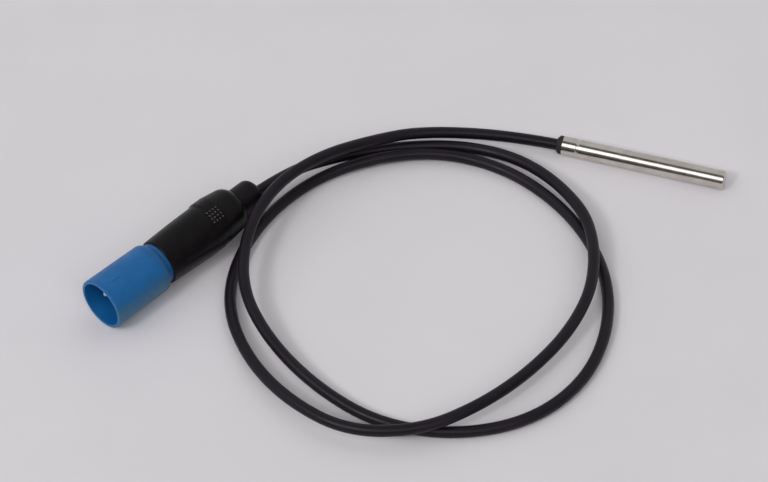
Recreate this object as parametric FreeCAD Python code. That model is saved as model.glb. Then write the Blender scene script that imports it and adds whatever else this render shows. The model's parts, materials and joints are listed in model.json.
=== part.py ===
import FreeCAD, Part
import math
import os

# NTC temperature sensor: a round two-pin plug, a loose cable and a metal probe with a thermistor in its end.
# Millimetres, +Z up. The sensor lies on the plane z = 0. X runs along the plug, from its mouth to its neck.
# The origin is under the middle of the box that holds the plug and the probe.

V = FreeCAD.Vector

# Cable and its two wires
cable_d = 3.6
cable_clearance = 0.05  # round the cable in its bores
core_d = 1.2            # insulated wire
conductor_d = 0.8

# Blue front of the plug
shroud_d = 16.7         # at the mouth
shroud_draft = 0.25     # loss of radius from the mouth to the rear edge
shroud_length = 19.9    # mouth to the rounded rear edge
shroud_wall = 1.05
rim_round = 0.4
rear_edge_length = 2.3  # rounded edge from the wall down to the collar
rear_edge_drop = 1.3
collar_length = 1.3
socket_depth = 15.5
base_thickness = 4.0    # wall that carries the contact pins
spigot_seat = 1.1       # face that the back shell sits against
spigot_length = 6.5
spigot_wall = 1.2
spigot_clearance = 0.05
dent_from_mouth = 5.6   # small oblong dent in the outside of the wall
dent_length = 2.7
dent_width = 0.8
dent_depth = 0.25
dent_angle = 101.0      # degrees from +Y towards +Z

# Contact pins
pin_d = 1.5
pin_pitch = 4.5
pin_recess = 3.3        # mouth to pin tip
pin_tip_round = 0.5
shank_step = 0.25       # the stretch held in the base is thicker
flange_step = 0.4       # and the flange behind the base thicker still
flange_length = 0.8
pin_clearance = 0.02
cup_wall = 0.5          # solder cup behind the flange
cup_length = 5.0
cup_depth = 3.5
solder_gap = 0.1

# Black back shell of the plug
barrel_d = 16.0
barrel_length = 21.1
barrel_swell = 0.6      # gain of radius from the front face to the rear end
front_chamfer = 0.35
band_lap = 2.0          # the band starts inside the barrel
band_rise = 0.05        # gain of radius from the barrel to the band
band_offset = 0.4       # the band and the shoulder stand off the plug's axis
band_offset_angle = 35.0  # degrees from +Y towards +Z
ramp_length = 1.2       # sloping front of the band
ramp_drop = 0.5
band_length = 4.9       # with the ramp, to where the taper starts
taper_length = 5.7
taper_drop = 0.7
shoulder_length = 3.0   # rounded from the taper down to the neck
shoulder_drop = 2.15
neck_d = 10.6
neck_length = 8.3
neck_round = 2.2
cavity_d = 10.4
back_wall = 1.4         # from the cavity to the root of the neck
cable_tail = 1.0        # cable that stands out into the cavity

# Raised grip dots on the band
grip_rows = 4
grip_columns = 4
grip_pitch = 1.2
grip_dot_d = 0.8
grip_dot_top_d = 0.5
grip_dot_height = 0.2
grip_from_band_edge = 2.15
grip_angle = 115.0      # degrees from +Y towards +Z

# Probe
sleeve_d = 6.0
sleeve_wall = 0.4
sleeve_length = 52.3
sleeve_end_wall = 0.6
sleeve_end_round = 0.5
groove_from_mouth = 4.9
groove_width = 1.0
groove_depth = 0.2
seal_flange_inset = 0.05  # the flange ends just inside the sleeve's outside
seal_flange_length = 1.6
seal_nose_length = 0.5
seal_insert = 7.5       # length inside the sleeve
cable_in_sleeve = 9.0   # sleeve mouth to the cable's cut end
splice_start = 22.0     # sleeve mouth to the shrink tubes
splice_length = 10.0
splice_wall = 0.22
splice_clearance = 0.03
splice_gap = 0.1        # between the two shrink tubes
core_in_splice = 3.0
joint_in_splice = 6.0   # where conductor and thermistor lead meet
lead_d = 0.4
lead_spread = 0.5       # at the thermistor
bead_d = 2.4
bead_length = 3.8
bead_gap = 0.5          # bead to the closed end
lead_in_bead = 1.2

# Where the plug and the probe lie
plug_exit_x = -23.7     # rear end of the neck
plug_axis_y = 45.4
probe_mouth_x = 61.9    # mouth of the sleeve
probe_mouth_y = -5.9
probe_heading = -62.9   # degrees from +X

# Cable's way: straight out of the plug, two loops on the floor and straight into the probe
cable_lead_out = 12.0   # last point on the plug's axis, from the neck
cable_lead_in = 13.0    # first point on the probe's axis, from the sleeve
bend_share = 0.45       # share of the shorter run that each bend takes
cable_loops = [
    (10.5, 40.5, 3.4),
    (27.0, 31.0, 1.9),
    (41.0, 17.0, 1.9),
    (48.0, 0.0, 3.0),
    (47.0, -18.5, 5.0),
    (41.0, -36.5, 6.0),
    (24.0, -53.0, 6.0),
    (5.0, -60.5, 5.2),
    (-15.5, -62.5, 4.7),
    (-35.5, -61.5, 5.9),
    (-55.0, -55.5, 6.0),
    (-70.0, -40.0, 5.5),
    (-73.0, -18.5, 4.3),
    (-69.5, 2.0, 3.5),
    (-59.5, 21.0, 2.5),
    (-44.0, 33.5, 1.9),
    (-24.0, 40.5, 1.9),
    (-3.0, 41.0, 1.9),
    (16.0, 33.0, 3.4),
    (32.5, 20.5, 2.7),
    (42.0, 3.0, 1.9),
    (43.5, -17.0, 1.9),
    (39.0, -37.0, 1.9),
    (28.5, -55.0, 1.9),
    (12.0, -68.5, 1.9),
    (-7.5, -75.5, 1.9),
    (-28.5, -73.5, 1.9),
    (-47.0, -61.5, 1.9),
    (-59.5, -42.5, 1.9),
    (-63.0, -20.5, 3.1),
    (-61.0, 1.5, 5.0),
    (-53.5, 21.0, 7.5),
    (-38.5, 34.0, 11.0),
    (-21.0, 40.0, 13.2),
    (-2.0, 40.0, 12.0),
    (16.5, 35.5, 8.7),
    (34.5, 28.5, 5.2),
]

# Worked out from the sizes above: radii of the plug
shroud_r = shroud_d / 2
socket_r = shroud_r - shroud_wall
shroud_rear_r = shroud_r - shroud_draft
collar_r = shroud_rear_r - rear_edge_drop
spigot_r = collar_r - spigot_seat
barrel_r = barrel_d / 2
band_r = barrel_r + band_rise
taper_r = band_r - taper_drop
shoulder_r = taper_r - shoulder_drop
neck_r = neck_d / 2
cable_bore_r = cable_d / 2 + cable_clearance
pin_r = pin_d / 2
shank_r = pin_r + shank_step
flange_r = shank_r + flange_step
cup_bore_r = conductor_d / 2 + solder_gap
pin_y = pin_pitch / 2

# Places along the plug, from its mouth
rear_edge_end = shroud_length + rear_edge_length
body_start = rear_edge_end + collar_length
spigot_end = body_start + spigot_length
barrel_end = body_start + barrel_length
band_start = barrel_end - band_lap
band_end = band_start + band_length
taper_end = band_end + taper_length
neck_start = taper_end + shoulder_length
plug_length = neck_start + neck_length
base_rear = socket_depth + base_thickness
flange_end = base_rear + flange_length
cup_end = flange_end + cup_length
cup_floor = cup_end - cup_depth
cavity_end = neck_start - back_wall
cable_start = cavity_end - cable_tail

# Radii of the probe, and places along it from the sleeve's mouth
sleeve_r = sleeve_d / 2
sleeve_bore_r = sleeve_r - sleeve_wall
sleeve_floor = sleeve_length - sleeve_end_wall
seal_flange_r = sleeve_r - seal_flange_inset
splice_bore_r = core_d / 2 + splice_clearance
splice_r = splice_bore_r + splice_wall
core_spread = splice_r + splice_gap / 2
splice_end = splice_start + splice_length
core_end = splice_start + core_in_splice
joint = splice_start + joint_in_splice
bead_r = bead_d / 2
bead_end = sleeve_floor - bead_gap
bead_start = bead_end - bead_length

plug_axis_z = max(shroud_r, band_r)
probe_axis_z = sleeve_r


def arc_middle(near, far, tangent):
    """Middle of the arc between two points that runs along the tangent at the near one."""
    chord = far - near
    bulge = chord.Length / 2 * math.tan(tangent.getAngle(chord) / 2)
    outward = tangent - chord * (tangent.dot(chord) / chord.Length**2)
    return (near + far) / 2 + outward.normalize() * bulge


def turned(*steps):
    """Solid turned about the X axis, through points (x, r).

    A third entry makes the step to that point an arc. A "leaving" arc starts along the axis, an "arriving"
    arc ends along it, and an "onward" arc carries on from the straight step before it.
    """
    edges = []
    points = [V(step[0], step[1], 0) for step in steps]
    for i, step in enumerate(steps):
        before, start, end = points[i - 2], points[i - 1], points[i]
        axial = V(end.x - start.x, 0, 0)
        if len(step) == 2:
            edge = Part.LineSegment(start, end)
        elif step[2] == "leaving":
            edge = Part.Arc(start, arc_middle(start, end, axial), end)
        elif step[2] == "arriving":
            edge = Part.Arc(start, arc_middle(end, start, -axial), end)
        else:
            edge = Part.Arc(start, arc_middle(start, end, start - before), end)
        edges.append(edge.toShape())
    return Part.Face(Part.Wire(edges)).revolve(V(0, 0, 0), V(1, 0, 0), 360)


def rod(radius, x0, x1, y=0.0):
    """Plain cylinder along X."""
    return Part.makeCylinder(radius, x1 - x0, V(x0, y, 0), V(1, 0, 0))


def around_x(shape, degrees):
    """The shape turned about the X axis."""
    shape.rotate(V(0, 0, 0), V(1, 0, 0), degrees)
    return shape


def bent_path(points):
    """Wire of straight runs joined by tangent arcs, and the radii of its arcs."""
    edges = []
    radii = []
    here = points[0]
    for before, point, after in zip(points, points[1:], points[2:]):
        back = before - point
        ahead = after - point
        half_turn = (math.pi - back.getAngle(ahead)) / 2
        setback = bend_share * min(back.Length, ahead.Length)
        radius = setback / math.tan(half_turn)
        radii.append(radius)
        back.normalize()
        ahead.normalize()
        inward = (back + ahead).normalize()
        start = point + back * setback
        middle = point + inward * (radius / math.cos(half_turn) - radius)
        end = point + ahead * setback
        edges.append(Part.LineSegment(here, start).toShape())
        edges.append(Part.Arc(start, middle, end).toShape())
        here = end
    edges.append(Part.LineSegment(here, points[-1]).toShape())
    return Part.Wire(edges), radii


def tube(points, diameter):
    """Round bar along a bent path, with the path's length and radii."""
    path, radii = bent_path(points)
    section = Part.Circle(points[0], points[1] - points[0], diameter / 2).toShape()
    return path.makePipeShell([Part.Wire(section)], True, False), path.Length, radii


def plug_shroud():
    """Open socket, wall for the pins, narrow collar and the spigot that the back shell slides onto."""
    shell = turned(
        (0, socket_r),
        (0, shroud_r - rim_round),
        (rim_round, shroud_r, "arriving"),
        (shroud_length, shroud_rear_r),
        (rear_edge_end, collar_r, "leaving"),
        (body_start, collar_r),
        (body_start, spigot_r),
        (spigot_end, spigot_r),
        (spigot_end, spigot_r - spigot_wall),
        (base_rear, spigot_r - spigot_wall),
        (base_rear, 0),
        (socket_depth, 0),
        (socket_depth, socket_r),
    )
    for y in (-pin_y, pin_y):
        shell = shell.cut(rod(shank_r + pin_clearance, socket_depth, base_rear, y))
    return shell.cut(around_x(dent(), dent_angle - 90))


def dent():
    """Oblong cutter that stands on the dent's floor, at the top of the wall."""
    floor = shroud_r - dent_depth
    straight = dent_length - dent_width
    start = dent_from_mouth - straight / 2
    cutter = Part.makeBox(straight, dent_width, shroud_r, V(start, -dent_width / 2, floor))
    for x in (start, start + straight):
        cutter = cutter.fuse(Part.makeCylinder(dent_width / 2, shroud_r, V(x, 0, floor)))
    return cutter


def contact_pin(side):
    """Round pin with a thicker shank in the base, a flange against it and a solder cup."""
    pin = turned(
        (pin_recess, 0),
        (pin_recess, pin_r - pin_tip_round),
        (pin_recess + pin_tip_round, pin_r, "arriving"),
        (socket_depth, pin_r),
        (socket_depth, shank_r),
        (base_rear, shank_r),
        (base_rear, flange_r),
        (flange_end, flange_r),
        (flange_end, cup_bore_r + cup_wall),
        (cup_end, cup_bore_r + cup_wall),
        (cup_end, cup_bore_r),
        (cup_floor, cup_bore_r),
        (cup_floor, 0),
    )
    pin.translate(V(0, side * pin_y, 0))
    return pin


def plug_body():
    """Moulded back shell: swelling barrel, neck, and between them a band, taper and shoulder off its axis."""
    barrel = turned(
        (body_start, 0),
        (body_start, barrel_r - barrel_swell - front_chamfer),
        (body_start + front_chamfer, barrel_r - barrel_swell),
        (barrel_end, barrel_r, "arriving"),
        (barrel_end, 0),
    )
    band = turned(
        (band_start, 0),
        (band_start, band_r - ramp_drop),
        (band_start + ramp_length, band_r),
        (band_end, band_r),
        (taper_end, taper_r),
        (neck_start, shoulder_r, "onward"),
        (neck_start, 0),
    )
    neck = turned(
        (cavity_end, 0),
        (cavity_end, neck_r),
        (plug_length - neck_round, neck_r),
        (plug_length, neck_r - neck_round, "leaving"),
        (plug_length, 0),
    )
    shell = barrel.fuse(neck)
    offset_angle = math.radians(band_offset_angle)
    for piece in [band] + grip_dots():
        piece.translate(V(0, math.cos(offset_angle), math.sin(offset_angle)) * band_offset)
        shell = shell.fuse(piece)
    hollow = turned(
        (body_start, 0),
        (body_start, spigot_r + spigot_clearance),
        (spigot_end, spigot_r + spigot_clearance),
        (spigot_end, cavity_d / 2),
        (cavity_end, cavity_d / 2),
        (cavity_end, cable_bore_r),
        (plug_length, cable_bore_r),
        (plug_length, 0),
    )
    return shell.cut(hollow)


def grip_dots():
    """Round dots in rows along the band and columns round it, sunk by their height so that they join it."""
    dots = []
    for row in range(grip_rows):
        along = grip_from_band_edge + (row - (grip_rows - 1) / 2) * grip_pitch
        foot = V(band_start + along, 0, band_r - grip_dot_height)
        for column in range(grip_columns):
            turn = math.degrees((column - (grip_columns - 1) / 2) * grip_pitch / band_r)
            dot = Part.makeCone(grip_dot_d / 2, grip_dot_top_d / 2, 2 * grip_dot_height, foot)
            dots.append(around_x(dot, grip_angle - 90 + turn))
    return dots


def plug_core(side):
    """Wire from the cable's cut end to the solder cup, with its conductor bared inside the cup."""
    near = V(cable_start, side * core_spread, 0)
    far = V(cup_end, side * pin_y, 0)
    run = V((cable_start - cup_end) / 3, 0, 0)
    wire, length, radii = tube([near, near - run, far + run, far], core_d)
    return wire.fuse(rod(conductor_d / 2, cup_floor, cup_end, side * pin_y))


def probe_sleeve():
    """Drawn sleeve with a closed end and a groove rolled into its wall over the seal."""
    groove_start = groove_from_mouth - groove_width / 2
    groove_end = groove_from_mouth + groove_width / 2
    return turned(
        (0, sleeve_bore_r),
        (0, sleeve_r),
        (groove_start, sleeve_r),
        (groove_from_mouth, sleeve_r - groove_depth, "arriving"),
        (groove_end, sleeve_r, "leaving"),
        (sleeve_length - sleeve_end_round, sleeve_r),
        (sleeve_length, sleeve_r - sleeve_end_round, "leaving"),
        (sleeve_length, 0),
        (sleeve_floor, 0),
        (sleeve_floor, sleeve_bore_r),
        (groove_end, sleeve_bore_r),
        (groove_from_mouth, sleeve_bore_r - groove_depth, "arriving"),
        (groove_start, sleeve_bore_r, "leaving"),
    )


def sleeve_seal():
    """Rubber seal round the cable: a bevelled flange, and a plug that the sleeve's groove bites into."""
    return turned(
        (-seal_flange_length - seal_nose_length, cable_bore_r),
        (-seal_flange_length, seal_flange_r - seal_nose_length),
        (-seal_flange_length + seal_nose_length, seal_flange_r),
        (0, seal_flange_r),
        (0, sleeve_bore_r),
        (groove_from_mouth - groove_width / 2, sleeve_bore_r),
        (groove_from_mouth, sleeve_bore_r - groove_depth, "arriving"),
        (groove_from_mouth + groove_width / 2, sleeve_bore_r, "leaving"),
        (seal_insert, sleeve_bore_r),
        (seal_insert, cable_bore_r),
    )


def probe_core(side):
    """Wire from the cable's cut end into the shrink tube, with its conductor bared up to the joint."""
    y = side * core_spread
    return rod(core_d / 2, cable_in_sleeve, core_end, y).fuse(rod(conductor_d / 2, core_end, joint, y))


def splice_tube(side):
    """Shrink tube over a joint."""
    y = side * core_spread
    return rod(splice_r, splice_start, splice_end, y).cut(rod(splice_bore_r, splice_start, splice_end, y))


def thermistor_lead(side):
    """Bare lead from the joint into the bead."""
    near = V(joint, side * core_spread, 0)
    far = V(bead_start + lead_in_bead, side * lead_spread, 0)
    run = V((far.x - near.x) / 3, 0, 0)
    lead, length, radii = tube([near, near + run, far - run, far], lead_d)
    return lead


def thermistor_bead(leads):
    """Round-ended bead on its two leads."""
    bead = turned(
        (bead_start, 0),
        (bead_start + bead_r, bead_r, "arriving"),
        (bead_end - bead_r, bead_r),
        (bead_end, 0, "leaving"),
    )
    for lead in leads:
        bead = bead.cut(lead)
    return bead


def potting_fill(bead, leads):
    """Resin from the seal to the closed end, with room for everything that it holds."""
    fill = rod(sleeve_bore_r, seal_insert, sleeve_floor).cut(rod(cable_d / 2, seal_insert, cable_in_sleeve))
    for y in (-core_spread, core_spread):
        fill = fill.cut(rod(core_d / 2, cable_in_sleeve, splice_start, y))
        fill = fill.cut(rod(splice_r, splice_start, splice_end, y))
    for piece in [bead] + leads:
        fill = fill.cut(piece)
    return fill


def cable():
    """The whole cable, from inside the plug's cavity to inside the sleeve."""
    heading = math.radians(probe_heading)
    into_probe = V(math.cos(heading), math.sin(heading), 0)
    plug_exit = V(plug_exit_x, plug_axis_y, plug_axis_z)
    mouth = V(probe_mouth_x, probe_mouth_y, probe_axis_z)
    points = [plug_exit - V(plug_length - cable_start, 0, 0), plug_exit + V(cable_lead_out, 0, 0)]
    points += [V(*point) for point in cable_loops]
    points += [mouth - into_probe * cable_lead_in, mouth + into_probe * cable_in_sleeve]
    solid, length, radii = tube(points, cable_d)
    share = solid.Volume / (math.pi * cable_d**2 / 4 * length)
    print("cable: length %.1f, volume over section times length %.5f" % (length, share))
    print("radii of its bends:", ", ".join("%.0f" % radius for radius in radii))
    return solid


def on_plug(shape):
    """From the plug's own frame, with its mouth at x = 0, to where the plug lies."""
    shape.translate(V(plug_exit_x - plug_length, plug_axis_y, plug_axis_z))
    return shape


def on_probe(shape):
    """From the probe's own frame, with the sleeve's mouth at x = 0, to where the probe lies."""
    shape.rotate(V(0, 0, 0), V(0, 0, 1), probe_heading)
    shape.translate(V(probe_mouth_x, probe_mouth_y, probe_axis_z))
    return shape


leads = [thermistor_lead(1), thermistor_lead(-1)]
bead = thermistor_bead(leads)
pieces = {
    "plug_shroud": on_plug(plug_shroud()),
    "plug_body": on_plug(plug_body()),
    "cable": cable(),
    "probe_sleeve": on_probe(probe_sleeve()),
    "sleeve_seal": on_probe(sleeve_seal()),
    "potting_fill": on_probe(potting_fill(bead, leads)),
    "thermistor_bead": on_probe(bead),
}
for hand, side, lead in (("left", 1, leads[0]), ("right", -1, leads[1])):
    pieces["contact_pin_" + hand] = on_plug(contact_pin(side))
    pieces["plug_core_" + hand] = on_plug(plug_core(side))
    pieces["probe_core_" + hand] = on_probe(probe_core(side))
    pieces["splice_tube_" + hand] = on_probe(splice_tube(side))
    pieces["thermistor_lead_" + hand] = on_probe(lead)

os.makedirs("parts", exist_ok=True)
for node, shape in pieces.items():
    shape.exportStep("parts/" + node + ".step")
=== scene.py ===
"""Looks of an NTC temperature sensor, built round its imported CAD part."""
import json
import math

import bpy
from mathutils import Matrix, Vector


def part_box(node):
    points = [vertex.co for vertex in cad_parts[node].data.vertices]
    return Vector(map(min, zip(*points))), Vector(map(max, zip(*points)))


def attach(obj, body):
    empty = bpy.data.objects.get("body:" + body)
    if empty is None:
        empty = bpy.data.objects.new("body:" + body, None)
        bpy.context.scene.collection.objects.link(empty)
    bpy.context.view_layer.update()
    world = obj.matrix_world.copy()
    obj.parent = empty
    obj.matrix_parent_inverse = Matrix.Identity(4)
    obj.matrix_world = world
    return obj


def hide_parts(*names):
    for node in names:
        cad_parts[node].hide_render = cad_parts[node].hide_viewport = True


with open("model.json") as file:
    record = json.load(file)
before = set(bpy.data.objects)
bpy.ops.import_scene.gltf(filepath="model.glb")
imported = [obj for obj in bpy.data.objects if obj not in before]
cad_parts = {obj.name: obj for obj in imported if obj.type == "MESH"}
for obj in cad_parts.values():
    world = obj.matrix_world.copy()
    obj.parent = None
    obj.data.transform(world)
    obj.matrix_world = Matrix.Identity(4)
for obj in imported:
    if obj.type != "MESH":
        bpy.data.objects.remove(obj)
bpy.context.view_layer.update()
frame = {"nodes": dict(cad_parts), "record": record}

# Sizes and places, in metres
cable_d = 0.0036
plug_exit = (-0.0237, 0.0454, 0.00835)
probe_mouth = Vector((0.0619, -0.0059, 0.003))
probe_heading = math.radians(-62.9)
into_probe = Vector((math.cos(probe_heading), math.sin(probe_heading), 0))
cable_lead_in = 0.013
cable_in_sleeve = 0.009
cable_route = [
    (-0.0344, 0.0454, 0.00835),
    (-0.0117, 0.0454, 0.00835),
    (0.0105, 0.0405, 0.0034),
    (0.027, 0.031, 0.0019),
    (0.041, 0.017, 0.0019),
    (0.048, 0.0, 0.003),
    (0.047, -0.0185, 0.005),
    (0.041, -0.0365, 0.006),
    (0.024, -0.053, 0.006),
    (0.005, -0.0605, 0.0052),
    (-0.0155, -0.0625, 0.0047),
    (-0.0355, -0.0615, 0.0059),
    (-0.055, -0.0555, 0.006),
    (-0.07, -0.04, 0.0055),
    (-0.073, -0.0185, 0.0043),
    (-0.0695, 0.002, 0.0035),
    (-0.0595, 0.021, 0.0025),
    (-0.044, 0.0335, 0.0019),
    (-0.024, 0.0405, 0.0019),
    (-0.003, 0.041, 0.0019),
    (0.016, 0.033, 0.0034),
    (0.0325, 0.0205, 0.0027),
    (0.042, 0.003, 0.0019),
    (0.0435, -0.017, 0.0019),
    (0.039, -0.037, 0.0019),
    (0.0285, -0.055, 0.0019),
    (0.012, -0.0685, 0.0019),
    (-0.0075, -0.0755, 0.0019),
    (-0.0285, -0.0735, 0.0019),
    (-0.047, -0.0615, 0.0019),
    (-0.0595, -0.0425, 0.0019),
    (-0.063, -0.0205, 0.0031),
    (-0.061, 0.0015, 0.005),
    (-0.0535, 0.021, 0.0075),
    (-0.0385, 0.034, 0.011),
    (-0.021, 0.04, 0.0132),
    (-0.002, 0.04, 0.012),
    (0.0165, 0.0355, 0.0087),
    (0.0345, 0.0285, 0.0052),
    probe_mouth - into_probe * cable_lead_in,
    probe_mouth + into_probe * cable_in_sleeve,
]
mouth_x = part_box("plug_shroud")[0].x
body_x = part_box("plug_body")[0].x
plug_axis_y = plug_exit[1]
plug_axis_z = plug_exit[2]
plug_front = (mouth_x, plug_axis_y, plug_axis_z)
body_front = (body_x, plug_axis_y, plug_axis_z)
band_offset_y = 0.00033
band_offset_z = 0.00023
band_axis = (body_x, plug_axis_y + band_offset_y, plug_axis_z + band_offset_z)
band_r = 0.00805
grip_dot_height = 0.0002
floor_size = 6.0

# Marks and painted light on the plug: lengths from the mouth, heights and radii from an axis
# Rim wear with a painted highlight: how far from the mouth the lighter rim reaches
rim_wear_and_highlight_end = 0.0007
# Dirt and painted shade by the collar: where the blue starts and stops darkening towards the black body
grime_and_shade_start = 0.0165
grime_and_shade_end = 0.0232
# Painted reflection of the floor on the plug's lower side: the heights where it starts and is full, and the
# radii of the outer wall
painted_reflection_top = 0.0062
painted_reflection_full_height = 0.0006
painted_reflection_inner_r = 0.0076
painted_reflection_full_r = 0.0081
worn_dots_bottom = 0.004
worn_dots_full_height = 0.005
worn_dots_inner_r = band_r + 0.5 * grip_dot_height
worn_dots_full_r = band_r + 0.9 * grip_dot_height
seam_edge = 0.00009
seam_ridge = 0.00004

# Colours, as linear red, green and blue with an alpha of 1
blue_deep = (0.005, 0.12, 0.352, 1)
blue_light = (0.008, 0.138, 0.388, 1)
blue_scuff = (0.1, 0.26, 0.48, 1)
# Pale blue of the worn rim, which is also a painted highlight on the mouth's edge
blue_worn_and_lit_rim = (0.12, 0.28, 0.48, 1)
# Dark blue for dirt and painted shade by the collar
blue_grime_and_shade = (0.006, 0.04, 0.11, 1)
# Greyish blue of the painted floor reflection on the lower side
blue_painted_reflection = (0.05, 0.15, 0.205, 1)
black_deep = (0.0026, 0.0017, 0.0025, 1)
black_light = (0.0054, 0.004, 0.0052, 1)
black_dust = (0.12, 0.11, 0.11, 1)
black_worn_dot = (0.15, 0.122, 0.125, 1)
jacket_deep = (0.0054, 0.0024, 0.0068, 1)
jacket_light = (0.0098, 0.0056, 0.0114, 1)
jacket_dust = (0.13, 0.12, 0.13, 1)
seal_deep = (0.021, 0.02, 0.02, 1)
seal_bloom = (0.044, 0.042, 0.041, 1)
steel_deep = (0.6, 0.565, 0.52, 1)
steel_light = (0.7, 0.665, 0.615, 1)
steel_scratch = (0.42, 0.39, 0.36, 1)
pin_deep = (0.74, 0.71, 0.66, 1)
pin_light = (0.88, 0.86, 0.82, 1)
tin_deep = (0.55, 0.55, 0.53, 1)
tin_light = (0.75, 0.75, 0.73, 1)
insulation_deep = (0.6, 0.57, 0.53, 1)
insulation_light = (0.72, 0.7, 0.67, 1)
shrink_deep = (0.012, 0.012, 0.013, 1)
shrink_light = (0.025, 0.025, 0.026, 1)
bead_deep = (0.08, 0.028, 0.015, 1)
bead_light = (0.16, 0.06, 0.03, 1)
potting_deep = (0.05, 0.05, 0.048, 1)
potting_light = (0.11, 0.108, 0.1, 1)
floor_deep = (0.785, 0.763, 0.79, 1)
floor_light = (0.81, 0.788, 0.815, 1)

# Camera: where it stands and what it looks at
camera_place = Vector((-0.48337, -0.45719, 0.72818))
camera_aim = Vector((-0.00501, 0.00799, 0.0))
camera_lens = 150.0
sensor_width = 36.0
ahead = Vector((camera_aim.x - camera_place.x, camera_aim.y - camera_place.y, 0)).normalized()
right = Vector((ahead.y, -ahead.x, 0))
up = Vector((0, 0, 1))

# Key light: how far left and towards the camera it lies for each metre up, then its distance and width in
# metres, and its watts
key_left = 0.77
key_near = 0.8
key_direction = -key_left * right - key_near * ahead + up
key_distance = 2.4
key_size = 0.45
key_energy = 10.5

# Room: a grey back and an unlit front, with a dark gap overhead. The fill light is a long pale strip above
# the camera, in line with the probe. A fade is the range of a cosine in which one tone passes into the next.
back_tone = (0.56, 0.555, 0.565, 1)
unlit_tone = (0.08, 0.078, 0.075, 1)
fill_tone = (1.8, 1.78, 1.81, 1)
fill_rise = math.radians(53.0)
fill_direction = math.cos(fill_rise) * into_probe.cross(up) + math.sin(fill_rise) * up
gap_left = 0.13
gap_direction = (-gap_left * right + up).normalized()
back_fade = (-0.2, 0.05)
gap_fade = (0.965, 0.99)
fill_side_fade = (0.94, 0.985)
fill_end_fade = (0.9, 0.7)


def add(tree, kind, inputs=None, **settings):
    """A new shader node. An input is either a value or the socket that feeds it."""
    node = tree.nodes.new("ShaderNode" + kind)
    for name, value in settings.items():
        setattr(node, name, value)
    for name, value in (inputs or {}).items():
        if isinstance(value, bpy.types.NodeSocket):
            tree.links.new(value, node.inputs[name])
        else:
            node.inputs[name].default_value = value
    return node


def new_material(name, **values):
    """A material with one main shader, and the constant values that are set on its sockets."""
    material = bpy.data.materials.new(name)
    material.use_nodes = True
    shader = material.node_tree.nodes["Principled BSDF"]
    for socket, value in values.items():
        shader.inputs[socket.replace("_", " ")].default_value = value
    return material, material.node_tree, shader


def feed(tree, shader, **sockets):
    """Links node outputs to the main shader."""
    for name, socket in sockets.items():
        tree.links.new(socket, shader.inputs[name.replace("_", " ")])


def place(tree, origin=(0, 0, 0), heading=0.0, stretch=(1, 1, 1)):
    """Coordinates in metres from an origin, turned so that X lies along a heading, then stretched."""
    here = add(tree, "TexCoord").outputs["Object"]
    inputs = {"Vector": here, "Location": origin, "Rotation": (0, 0, heading)}
    moved = add(tree, "Mapping", inputs, vector_type="TEXTURE").outputs["Vector"]
    return add(tree, "VectorMath", {0: moved, 1: stretch}, operation="MULTIPLY").outputs[0]


def along(tree, vector):
    """The three coordinates of a vector, by the names of their axes."""
    return add(tree, "SeparateXYZ", {0: vector}).outputs


def from_axis(tree, origin):
    """Distance from a line along X through an origin."""
    across = place(tree, origin, stretch=(0, 1, 1))
    return add(tree, "VectorMath", {0: across}, operation="LENGTH").outputs["Value"]


def dot(tree, a, b):
    """Dot product of two vectors."""
    return add(tree, "VectorMath", {0: a, 1: b}, operation="DOT_PRODUCT").outputs["Value"]


def maths(tree, operation, a, b=0.0):
    """One sum with a and b."""
    return add(tree, "Math", {0: a, 1: b}, operation=operation).outputs[0]


def times(tree, a, b):
    """a multiplied by b."""
    return maths(tree, "MULTIPLY", a, b)


def noise(tree, vector, scale, detail=2.0, roughness=0.5):
    """Cloudy pattern round 0.5, with as many spots to the metre as its scale."""
    inputs = {"Vector": vector, "Scale": scale, "Detail": detail, "Roughness": roughness}
    return add(tree, "TexNoise", inputs).outputs["Fac"]


def ranged(tree, value, start, end, low=0.0, high=1.0):
    """Smooth step of a value from low to high between start and end."""
    inputs = {"Value": value, "From Min": start, "From Max": end, "To Min": low, "To Max": high}
    return add(tree, "MapRange", inputs, interpolation_type="SMOOTHSTEP").outputs["Result"]


def mixed(tree, factor, a, b):
    """Colour between a and b."""
    return add(tree, "Mix", {0: factor, 6: a, 7: b}, data_type="RGBA").outputs[2]


def bump(tree, height, strength, depth, normal=None):
    """Surface direction over a relief, which may lie on top of another relief."""
    inputs = {"Height": height, "Strength": strength, "Distance": depth}
    if normal:
        inputs["Normal"] = normal
    return add(tree, "Bump", inputs).outputs["Normal"]


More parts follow.
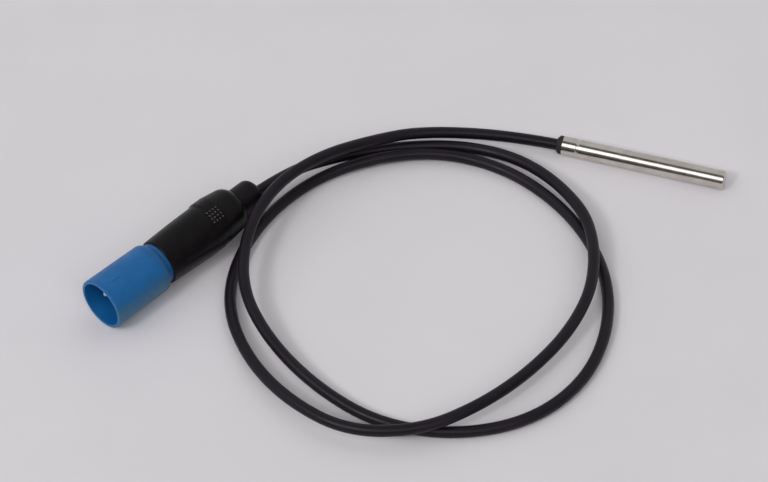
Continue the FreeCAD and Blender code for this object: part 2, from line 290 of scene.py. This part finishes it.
def blue_plastic():
    """Satin moulding: cloudy pigment, fine grain and scuffs along the plug. The rim is worn, with a painted
    highlight; dirt with painted shade darkens it by the collar, and a painted floor reflection greys the
    lower side."""
    material, tree, shader = new_material("blue_plastic", Specular_IOR_Level=0.36)
    here = place(tree, plug_front)
    lengthwise = place(tree, plug_front, stretch=(0.12, 1, 1))
    from_mouth = along(tree, here)["X"]
    height = along(tree, here)["Z"]
    clouds = ranged(tree, noise(tree, here, 140, detail=3), 0.3, 0.7)
    colour = mixed(tree, clouds, blue_deep, blue_light)
    streaks = ranged(tree, noise(tree, lengthwise, 2600, roughness=0.6), 0.6, 0.68)
    patches = ranged(tree, noise(tree, here, 260), 0.5, 0.68)
    scuffs = times(tree, streaks, patches)
    colour = mixed(tree, times(tree, scuffs, 0.35), colour, blue_scuff)
    chips = ranged(tree, noise(tree, here, 900, detail=3), 0.35, 0.65)
    # The rim is lighter: wear, with a painted highlight on the mouth's edge
    worn = times(tree, ranged(tree, from_mouth, rim_wear_and_highlight_end, 0.0, high=0.08), chips)
    colour = mixed(tree, worn, colour, blue_worn_and_lit_rim)
    # By the collar: dirt with painted shade, darkening the blue towards the black body
    grime_and_shade_mottle = ranged(tree, noise(tree, here, 700, detail=4), 0.3, 0.7, low=0.45)
    grime_and_shade = times(tree, ranged(tree, from_mouth, grime_and_shade_start, grime_and_shade_end, high=0.5), grime_and_shade_mottle)
    colour = mixed(tree, grime_and_shade, colour, blue_grime_and_shade)
    # Painted reflection of the floor: the outer wall's lower side turns greyer and paler, with a mottle
    outside = ranged(tree, from_axis(tree, plug_front), painted_reflection_inner_r, painted_reflection_full_r)
    lower_side = ranged(tree, height, painted_reflection_top, painted_reflection_full_height, high=0.75)
    mottle = ranged(tree, noise(tree, here, 480, detail=4, roughness=0.6), 0.34, 0.6, low=0.4)
    painted_reflection = times(tree, times(tree, lower_side, outside), mottle)
    colour = mixed(tree, painted_reflection, colour, blue_painted_reflection)
    rough = ranged(tree, noise(tree, here, 420, detail=4), 0.25, 0.75, low=0.36, high=0.48)
    rough = maths(tree, "ADD", rough, times(tree, scuffs, 0.15))
    grain = bump(tree, noise(tree, here, 3600), strength=0.12, depth=0.00004)
    scuffed = bump(tree, scuffs, strength=0.1, depth=0.00003, normal=grain)
    feed(tree, shader, Base_Color=colour, Roughness=rough, Normal=scuffed)
    return material


def black_plastic():
    """Satin black moulding: fine grain, a faint parting line along the plug, rubbed patches, a little
    dust and pale worn tips on the grip dots."""
    material, tree, shader = new_material("black_plastic", Specular_IOR_Level=0.18)
    here = place(tree, body_front)
    lengthwise = place(tree, (body_x, 0, 0), stretch=(0.15, 1, 1))
    height = along(tree, here)["Z"]
    clouds = noise(tree, here, 180, detail=3)
    colour = mixed(tree, ranged(tree, clouds, 0.3, 0.7), black_deep, black_light)
    dust = ranged(tree, noise(tree, here, 2400, detail=3, roughness=0.7), 0.67, 0.74, high=0.25)
    colour = mixed(tree, dust, colour, black_dust)
    raised = ranged(tree, from_axis(tree, band_axis), worn_dots_inner_r, worn_dots_full_r)
    tips = times(tree, raised, ranged(tree, height, worn_dots_bottom, worn_dots_full_height))
    wear = ranged(tree, noise(tree, here, 1500), 0.35, 0.65, low=0.5)
    colour = mixed(tree, times(tree, tips, wear), colour, black_worn_dot)
    streaks = ranged(tree, noise(tree, lengthwise, 2000, roughness=0.6), 0.56, 0.66)
    rubbed = times(tree, streaks, ranged(tree, clouds, 0.42, 0.6))
    rough = ranged(tree, noise(tree, here, 380, detail=4), 0.25, 0.75, low=0.32, high=0.42)
    rough = maths(tree, "SUBTRACT", rough, times(tree, rubbed, 0.12))
    seam = ranged(tree, maths(tree, "ABSOLUTE", height), seam_edge, seam_ridge)
    grain = bump(tree, noise(tree, here, 3200), strength=0.16, depth=0.00005)
    parted = bump(tree, seam, strength=0.4, depth=0.00005, normal=grain)
    feed(tree, shader, Base_Color=colour, Roughness=rough, Normal=parted)
    return material


def cable_jacket():
    """Extruded jacket: satin black with a slight purple cast, faint flats, specks of dust and
    duller patches."""
    material, tree, shader = new_material("cable_jacket", Specular_IOR_Level=0.28)
    here = place(tree)
    clouds = ranged(tree, noise(tree, here, 75, detail=3), 0.3, 0.7)
    colour = mixed(tree, clouds, jacket_deep, jacket_light)
    dust = ranged(tree, noise(tree, here, 1900, detail=3, roughness=0.7), 0.66, 0.74, high=0.22)
    colour = mixed(tree, dust, colour, jacket_dust)
    rough = ranged(tree, noise(tree, here, 300, detail=4), 0.25, 0.75, low=0.37, high=0.5)
    flats = bump(tree, noise(tree, here, 420), strength=0.1, depth=0.00012)
    grain = bump(tree, noise(tree, here, 3000), strength=0.1, depth=0.00004, normal=flats)
    feed(tree, shader, Base_Color=colour, Roughness=rough, Normal=grain)
    return material


def seal_rubber():
    """Dull black rubber with a fine blotchy skin and a pale bloom."""
    material, tree, shader = new_material("seal_rubber", Specular_IOR_Level=0.3)
    here = place(tree)
    bloom = ranged(tree, noise(tree, here, 900, detail=4, roughness=0.6), 0.45, 0.7)
    colour = mixed(tree, bloom, seal_deep, seal_bloom)
    rough = ranged(tree, noise(tree, here, 1400), 0.3, 0.7, low=0.6, high=0.78)
    skin = bump(tree, noise(tree, here, 2600, detail=3), strength=0.2, depth=0.00006)
    feed(tree, shader, Base_Color=colour, Roughness=rough, Normal=skin)
    return material


def sleeve_steel():
    """Bright drawn steel: fine rings round the sleeve, handling marks along it and dull smudges."""
    material, tree, shader = new_material("sleeve_steel", Metallic=1.0)
    here = place(tree, probe_mouth, probe_heading)
    round_sleeve = place(tree, probe_mouth, probe_heading, stretch=(1, 0.04, 0.04))
    lengthwise = place(tree, probe_mouth, probe_heading, stretch=(0.07, 1, 1))
    clouds = ranged(tree, noise(tree, here, 190, detail=3), 0.3, 0.7)
    colour = mixed(tree, clouds, steel_deep, steel_light)
    rings = noise(tree, round_sleeve, 4200, roughness=0.6)
    scratched = ranged(tree, noise(tree, lengthwise, 2400, roughness=0.6), 0.63, 0.7)
    colour = mixed(tree, times(tree, scratched, 0.3), colour, steel_scratch)
    smudges = ranged(tree, noise(tree, here, 330, detail=4, roughness=0.6), 0.35, 0.72, low=0.17, high=0.22)
    rough = maths(tree, "ADD", smudges, times(tree, scratched, 0.06))
    turned = bump(tree, rings, strength=0.03, depth=0.00002)
    handled = bump(tree, scratched, strength=0.04, depth=0.00002, normal=turned)
    feed(tree, shader, Base_Color=colour, Roughness=rough, Normal=handled)
    return material


def metal(name, deep, light, dull, scale):
    """Plated metal with fine spots of tarnish between two colours."""
    material, tree, shader = new_material(name, Metallic=1.0)
    here = place(tree)
    tarnish = noise(tree, here, scale, detail=4, roughness=0.6)
    colour = mixed(tree, ranged(tree, tarnish, 0.35, 0.65), deep, light)
    rough = ranged(tree, noise(tree, here, 3 * scale, detail=3), 0.3, 0.7, low=dull, high=dull + 0.14)
    pitted = bump(tree, tarnish, strength=0.08, depth=0.00003)
    feed(tree, shader, Base_Color=colour, Roughness=rough, Normal=pitted)
    return material


def contact_metal():
    """Bright plating on the contact pins."""
    return metal("contact_metal", pin_deep, pin_light, dull=0.24, scale=1500)


def tinned_wire():
    """Tin on the thermistor's leads."""
    return metal("tinned_wire", tin_deep, tin_light, dull=0.25, scale=1800)


def resin(name, deep, light, dull, scale, relief):
    """Cast, dipped or drawn plastic inside the part, blotchy between two colours, with an uneven skin."""
    material, tree, shader = new_material(name, Specular_IOR_Level=0.45)
    here = place(tree)
    blotches = noise(tree, here, scale, detail=4, roughness=0.6)
    colour = mixed(tree, ranged(tree, blotches, 0.32, 0.68), deep, light)
    rough = ranged(tree, noise(tree, here, 2.5 * scale, detail=3), 0.3, 0.7, low=dull, high=dull + 0.15)
    skin = bump(tree, blotches, strength=0.15, depth=relief)
    feed(tree, shader, Base_Color=colour, Roughness=rough, Normal=skin)
    return material


def wire_insulation():
    """Pale insulation on the cable's two wires."""
    return resin("wire_insulation", insulation_deep, insulation_light, dull=0.4, scale=900, relief=0.00004)


def shrink_tube():
    """Black tubes shrunk over the joints in the probe."""
    return resin("shrink_tube", shrink_deep, shrink_light, dull=0.4, scale=1100, relief=0.0001)


def bead_coating():
    """Dark brown, glossy dip on the thermistor's bead."""
    return resin("bead_coating", bead_deep, bead_light, dull=0.15, scale=1300, relief=0.00005)


def potting_resin():
    """Grey fill of the sleeve."""
    return resin("potting_resin", potting_deep, potting_light, dull=0.35, scale=800, relief=0.0001)


def floor_paint():
    """Pale, slightly lilac board with a faint mottle and tooth."""
    material, tree, shader = new_material("floor_paint", Specular_IOR_Level=0.25)
    here = place(tree)
    mottle = ranged(tree, noise(tree, here, 14, detail=5, roughness=0.6), 0.3, 0.7)
    colour = mixed(tree, mottle, floor_deep, floor_light)
    rough = ranged(tree, noise(tree, here, 160, detail=3), 0.3, 0.7, low=0.6, high=0.72)
    tooth = bump(tree, noise(tree, here, 900, detail=3), strength=0.04, depth=0.0001)
    feed(tree, shader, Base_Color=colour, Roughness=rough, Normal=tooth)
    return material


def cable_piece(jacket):
    """One smooth line along the cable's route, with a round section."""
    curve = bpy.data.curves.new("cable_line", "CURVE")
    curve.dimensions = "3D"
    spline = curve.splines.new("NURBS")
    spline.points.add(len(cable_route) - 1)
    for point, spot in zip(spline.points, cable_route):
        point.co = (*spot, 1.0)
    spline.order_u = 3
    spline.use_endpoint_u = True
    spline.resolution_u = 10
    curve.bevel_depth = cable_d / 2
    curve.bevel_resolution = 6
    curve.use_fill_caps = True
    curve.materials.append(jacket)
    piece = bpy.data.objects.new("cable_jacket", curve)
    bpy.context.collection.objects.link(piece)
    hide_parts("cable")
    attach(piece, "root")


def dress_nodes(jacket):
    """Gives every CAD node the finished material of its slot."""
    finishes = {
        "blue_plastic": blue_plastic(),
        "black_plastic": black_plastic(),
        "cable_jacket": jacket,
        "seal_rubber": seal_rubber(),
        "sleeve_steel": sleeve_steel(),
        "contact_metal": contact_metal(),
        "tinned_wire": tinned_wire(),
        "wire_insulation": wire_insulation(),
        "shrink_tube": shrink_tube(),
        "bead_coating": bead_coating(),
        "potting_resin": potting_resin(),
    }
    for part in frame["record"]["subparts"]:
        slots = frame["nodes"][part["node"]].data.materials
        slots.clear()
        slots.append(finishes[part["material_slot"]])


def aimed(name, data, spot):
    """A camera or light that stands at a spot and faces what the camera looks at."""
    piece = bpy.data.objects.new(name, data)
    piece.location = spot
    piece.rotation_euler = (camera_aim - spot).to_track_quat("-Z", "Y").to_euler()
    bpy.context.collection.objects.link(piece)
    return piece


def camera():
    """The photograph's view."""
    data = bpy.data.cameras.new("camera")
    data.lens = camera_lens
    data.sensor_width = sensor_width
    data.sensor_fit = "HORIZONTAL"
    bpy.context.scene.camera = aimed("camera", data, camera_place)


def floor():
    """Plain board under the object, wide enough to fill every view."""
    bpy.ops.mesh.primitive_plane_add(size=floor_size)
    piece = bpy.context.object
    piece.name = "floor"
    piece.data.materials.append(floor_paint())


def key_light():
    """Round lamp to the left of the camera."""
    data = bpy.data.lights.new("key", "AREA")
    data.shape = "DISK"
    data.size = key_size
    data.energy = key_energy
    aimed("key", data, camera_aim + key_direction.normalized() * key_distance)


def studio():
    """Soft light from the back of the room and from the fill. The front and a gap overhead are unlit."""
    world = bpy.data.worlds.new("studio")
    bpy.context.scene.world = world
    world.use_nodes = True
    tree = world.node_tree
    direction = add(tree, "TexCoord").outputs["Generated"]
    back = ranged(tree, dot(tree, direction, ahead), *back_fade)
    colour = mixed(tree, back, unlit_tone, back_tone)
    gap = ranged(tree, dot(tree, direction, gap_direction), *gap_fade)
    colour = mixed(tree, gap, colour, unlit_tone)
    sideways = dot(tree, direction, into_probe)
    across = maths(tree, "SQRT", maths(tree, "SUBTRACT", 1.0, times(tree, sideways, sideways)))
    rise = maths(tree, "DIVIDE", dot(tree, direction, fill_direction), across)
    strip = ranged(tree, rise, *fill_side_fade)
    ends = ranged(tree, maths(tree, "ABSOLUTE", sideways), *fill_end_fade)
    colour = mixed(tree, times(tree, strip, ends), colour, fill_tone)
    tree.links.new(colour, tree.nodes["Background"].inputs["Color"])


bpy.context.scene.view_settings.view_transform = "Standard"
camera()
jacket = cable_jacket()
cable_piece(jacket)
dress_nodes(jacket)
floor()
key_light()
studio()
